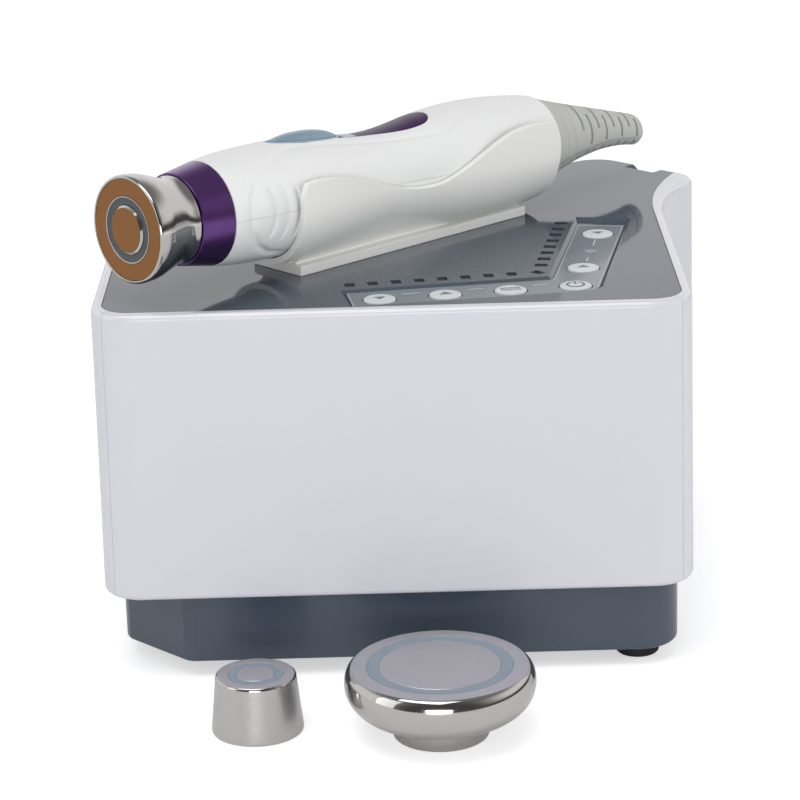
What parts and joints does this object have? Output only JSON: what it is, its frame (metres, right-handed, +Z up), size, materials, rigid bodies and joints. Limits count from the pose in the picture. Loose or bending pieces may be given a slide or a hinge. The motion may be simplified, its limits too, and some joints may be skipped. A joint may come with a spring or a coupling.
{
  "type": "facial toning device",
  "caption": "Desktop facial toning console with keypad, handpiece resting in a cradle and spare electrode heads.",
  "frame": {"origin": "middle of the whole set's footprint, on the table", "axes": "+Z up; +Y from the spare heads and the console's front face towards its back; +X to the right seen from the front"},
  "size_m": [0.2272, 0.2905, 0.1875],
  "materials": {
    "white_housing": "fine satin white",
    "slate_panel": "polished",
    "keypad_film": "clear film over slate",
    "white_keys": "gloss",
    "lamp_lens": "smoked",
    "slate_tray": "fine texture",
    "black_rubber": "matt",
    "steel_screws": "plain",
    "green_board": "solder mask",
    "black_plastic": "moulded",
    "transformer_core": "varnished",
    "sink_aluminium": "extruded",
    "gold_contacts": "plated",
    "cradle_white": "satin",
    "handpiece_white": "satin",
    "violet_anodised": "anodised, turned",
    "button_blue": "satin",
    "frame_blue": "satin",
    "violet_inlay": "gloss",
    "grey_boot": "soft",
    "head_chrome": "polished",
    "face_bronze": "brushed",
    "ring_slate": "satin",
    "ring_blue": "satin",
    "disc_steel": "fine brushed"
  },
  "bodies": {
    "console": {"front_cover": "white_housing", "housing_shell": "white_housing", "top_panel": "slate_panel", "keypad_overlay": "keypad_film", "lamp_guides": "lamp_lens", "key_board": "green_board", "key_switches": "black_plastic", "base_tray": "slate_tray", "feet": "black_rubber", "tray_screws": "steel_screws", "supply_board": "green_board", "transformer": "transformer_core", "output_board": "green_board", "heat_sink": "sink_aluminium", "board_screws": "steel_screws", "mains_inlet": "black_plastic", "inlet_pins": "gold_contacts", "handpiece_socket": "head_chrome", "socket_nut": "steel_screws", "socket_pins": "gold_contacts", "cradle": "cradle_white", "cradle_screws": "steel_screws"},
    "handpiece": {"upper_shell": "handpiece_white", "lower_shell": "handpiece_white", "collar": "violet_anodised", "contact_spigot": "black_plastic", "spigot_pins": "gold_contacts", "handpiece_board": "green_board", "button_switch": "black_plastic", "shell_screws": "steel_screws", "button_frame": "frame_blue", "inlay": "violet_inlay", "strain_relief": "grey_boot"},
    "button": {"trigger_button": "button_blue"},
    "electrode_head": {"head_body": "head_chrome", "head_face": "face_bronze", "head_insulator": "ring_slate", "head_disc": "face_bronze"},
    "large_head": {"large_head_body": "head_chrome", "large_head_insulator": "ring_blue", "large_head_disc": "disc_steel"},
    "small_head": {"small_head_body": "head_chrome", "small_head_insulator": "ring_blue", "small_head_disc": "disc_steel"},
    "key_down_body": {"key_down": "white_keys"},
    "key_up_body": {"key_up": "white_keys"},
    "key_mode_body": {"key_mode": "white_keys"},
    "key_power_body": {"key_power": "white_keys"},
    "key_next_body": {"key_next": "white_keys"},
    "key_start_body": {"key_start": "white_keys"}
  },
  "joints": [
    {"name": "handpiece_lift", "type": "slide", "parent": "console", "child": "handpiece", "axis": [0.0167, 0.0154, 0.9997], "range_m": [0, 0.06]},
    {"name": "head_pull", "type": "slide", "parent": "handpiece", "child": "electrode_head", "axis": [-0.7343, -0.6784, 0.0227], "range_m": [0, 0.03]},
    {"name": "button_press", "type": "slide", "parent": "handpiece", "child": "button", "axis": [-0.0167, -0.0154, -0.9997], "range_m": [0, 0.0012], "stiffness_N_per_m": 900, "springref_m": -0.0005},
    {"name": "key_down_press", "type": "slide", "parent": "console", "child": "key_down_body", "axis": [0, 0, -1], "range_m": [0, 0.0004], "stiffness_N_per_m": 600, "springref_m": -0.0005},
    {"name": "key_up_press", "type": "slide", "parent": "console", "child": "key_up_body", "axis": [0, 0, -1], "range_m": [0, 0.0004], "stiffness_N_per_m": 600, "springref_m": -0.0005},
    {"name": "key_mode_press", "type": "slide", "parent": "console", "child": "key_mode_body", "axis": [0, 0, -1], "range_m": [0, 0.0004], "stiffness_N_per_m": 600, "springref_m": -0.0005},
    {"name": "key_power_press", "type": "slide", "parent": "console", "child": "key_power_body", "axis": [0, 0, -1], "range_m": [0, 0.0004], "stiffness_N_per_m": 600, "springref_m": -0.0005},
    {"name": "key_next_press", "type": "slide", "parent": "console", "child": "key_next_body", "axis": [0, 0, -1], "range_m": [0, 0.0004], "stiffness_N_per_m": 600, "springref_m": -0.0005},
    {"name": "key_start_press", "type": "slide", "parent": "console", "child": "key_start_body", "axis": [0, 0, -1], "range_m": [0, 0.0004], "stiffness_N_per_m": 600, "springref_m": -0.0005},
    {"name": "large_head_lift", "type": "slide", "parent": "console", "child": "large_head", "axis": [0, 0, 1], "range_m": [0, 0.05]},
    {"name": "small_head_lift", "type": "slide", "parent": "console", "child": "small_head", "axis": [0, 0, 1], "range_m": [0, 0.05]}
  ]
}
